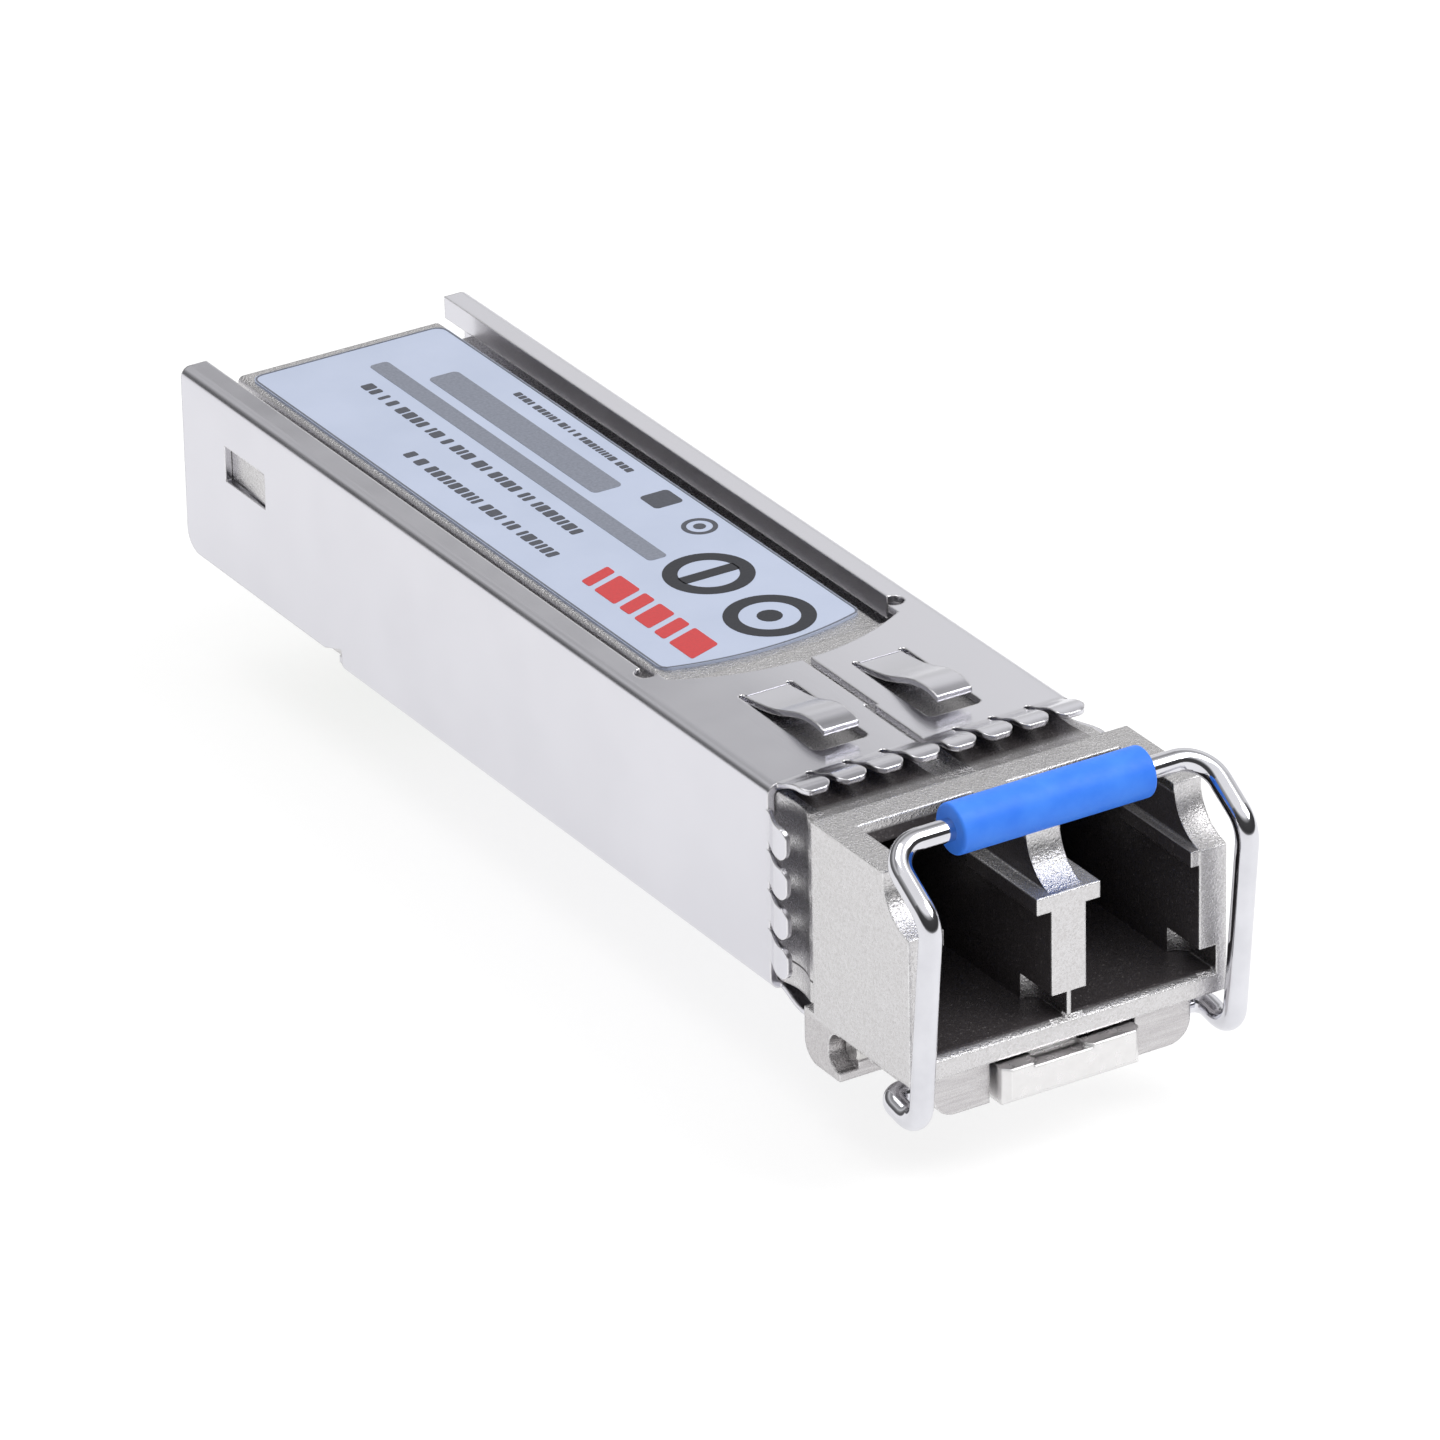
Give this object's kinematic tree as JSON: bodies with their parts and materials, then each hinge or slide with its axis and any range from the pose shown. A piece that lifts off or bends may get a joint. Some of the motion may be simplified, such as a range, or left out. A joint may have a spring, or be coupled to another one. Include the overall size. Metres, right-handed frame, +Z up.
{
  "type": "optical transceiver module",
  "caption": "Pluggable duplex fibre-optic transceiver with a steel cover, die-cast nose, card edge and a pull-down wire bail that releases its latch.",
  "frame": {"origin": "under the middle of the whole module, on the plane that its latch block stands on", "axes": "+Z up, out of the label; +Y from the fibre port towards the card edge; +X to the right seen from the fibre port"},
  "size_m": [0.0146, 0.0559, 0.0121],
  "materials": {
    "cast_metal": "satin",
    "cover_steel": "satin",
    "label_film": "satin",
    "laminate": "satin",
    "gold_plating": "satin",
    "chip_mould": "matte",
    "capacitor_body": "satin",
    "gap_filler": "matte",
    "turned_steel": "satin",
    "zirconia": "satin",
    "can_metal": "satin",
    "flex_film": "satin",
    "clamp_steel": "satin",
    "ring_rubber": "matte",
    "bright_wire": "polished",
    "grip_plastic": "satin",
    "lever_metal": "satin",
    "pin_steel": "satin",
    "spring_steel": "satin"
  },
  "bodies": {
    "module": {"lower_housing": "cast_metal", "upper_housing": "cast_metal", "shield_cover": "cover_steel", "label": "label_film", "circuit_board": "laminate", "edge_contacts_top": "gold_plating", "edge_contacts_bottom": "gold_plating", "driver_chip": "chip_mould", "controller_chip": "chip_mould", "amplifier_chip": "chip_mould", "chip_capacitors": "capacitor_body", "heat_pad": "gap_filler", "transmitter_receptacle": "turned_steel", "receiver_receptacle": "turned_steel", "transmitter_sleeve": "zirconia", "receiver_sleeve": "zirconia", "transmitter_can": "can_metal", "receiver_can": "can_metal", "transmitter_flex": "flex_film", "receiver_flex": "flex_film", "receptacle_clamp": "clamp_steel", "shielding_rings": "ring_rubber", "latch_pivot_pin": "pin_steel", "latch_spring": "spring_steel"},
    "bail": {"bail_wire": "bright_wire", "bail_sleeve": "grip_plastic"},
    "latch": {"latch_lever": "lever_metal"}
  },
  "joints": [
    {"name": "bail_swing", "type": "hinge", "parent": "module", "child": "bail", "pos_m": [0, -0.0245, 0.00088], "axis": [1, 0, 0], "range_deg": [0, 90]},
    {"name": "latch_rock", "type": "hinge", "parent": "module", "child": "latch", "pos_m": [0, -0.021, 0.00103], "axis": [1, 0, 0], "range_deg": [0, 5.76], "deforming": ["latch_spring"]}
  ],
  "couplings": [
    {"joint": "latch_rock", "follows": "bail_swing", "ratio": 0.064}
  ]
}
